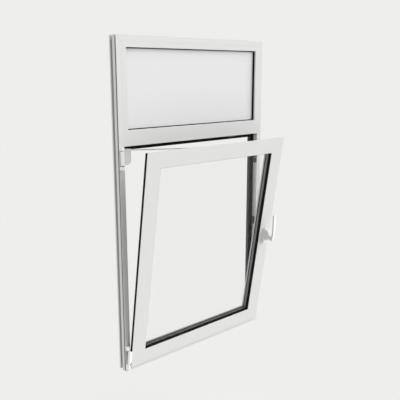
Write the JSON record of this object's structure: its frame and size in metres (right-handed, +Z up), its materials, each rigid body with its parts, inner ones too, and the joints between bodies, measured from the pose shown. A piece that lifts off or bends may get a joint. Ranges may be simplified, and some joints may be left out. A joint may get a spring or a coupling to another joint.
{
  "type": "tilt and turn window",
  "caption": "White plastic tilt and turn window: double-glazed sash tilted into the room on its stay arm, below a fixed satin-glass fanlight, with edge hinges and a lever handle.",
  "frame": {"origin": "middle of the sill's underside, in the middle of the frame's depth", "axes": "+X to the right seen from the room, +Y to the outside, +Z up"},
  "size_m": [1, 0.2604, 1.72],
  "materials": {
    "profile": "satin white plastic profile, dark grey foil on the outside",
    "bead": "satin white plastic",
    "gasket": "matt black rubber",
    "clear_glass": "clear float glass",
    "satin_glass": "satin etched glass",
    "spacer": "mill aluminium spacer bar",
    "hinge_cover": "white moulded covers",
    "fitting_steel": "zinc plated steel",
    "handle": "white powder coat"
  },
  "bodies": {
    "window": {"bottom_hinge_bearing": "hinge_cover", "bottom_hinge_knuckle": "hinge_cover", "fanlight_bottom_bead": "bead", "fanlight_inner_gasket": "gasket", "fanlight_inner_pane": "satin_glass", "fanlight_left_bead": "bead", "fanlight_outer_gasket": "gasket", "fanlight_outer_pane": "clear_glass", "fanlight_right_bead": "bead", "fanlight_spacer": "spacer", "fanlight_top_bead": "bead", "frame_head": "profile", "frame_left_jamb": "profile", "frame_right_jamb": "profile", "frame_seal": "gasket", "frame_sill": "profile", "handle_base": "handle", "locking_cams": "fitting_steel", "locking_keeps": "fitting_steel", "sash_bottom_bead": "bead", "sash_bottom_rail": "profile", "sash_inner_gasket": "gasket", "sash_inner_pane": "clear_glass", "sash_left_bead": "bead", "sash_left_stile": "profile", "sash_outer_gasket": "gasket", "sash_outer_pane": "clear_glass", "sash_right_bead": "bead", "sash_right_stile": "profile", "sash_seal": "gasket", "sash_spacer": "spacer", "sash_top_bead": "bead", "sash_top_rail": "profile", "side_gear_rail": "fitting_steel", "stay_arm": "fitting_steel", "stay_slider": "fitting_steel", "top_gear_rail": "fitting_steel", "top_hinge_bearing": "hinge_cover", "top_hinge_knuckle": "hinge_cover", "transom": "profile"},
    "handle": {"handle_lever": "handle"}
  },
  "joints": [
    {"name": "handle_turn", "type": "hinge", "parent": "window", "child": "handle", "pos_m": [0.435, -0.15822, 0.59393], "axis": [0, -0.9871, -0.1599], "range_deg": [0, 180]}
  ]
}
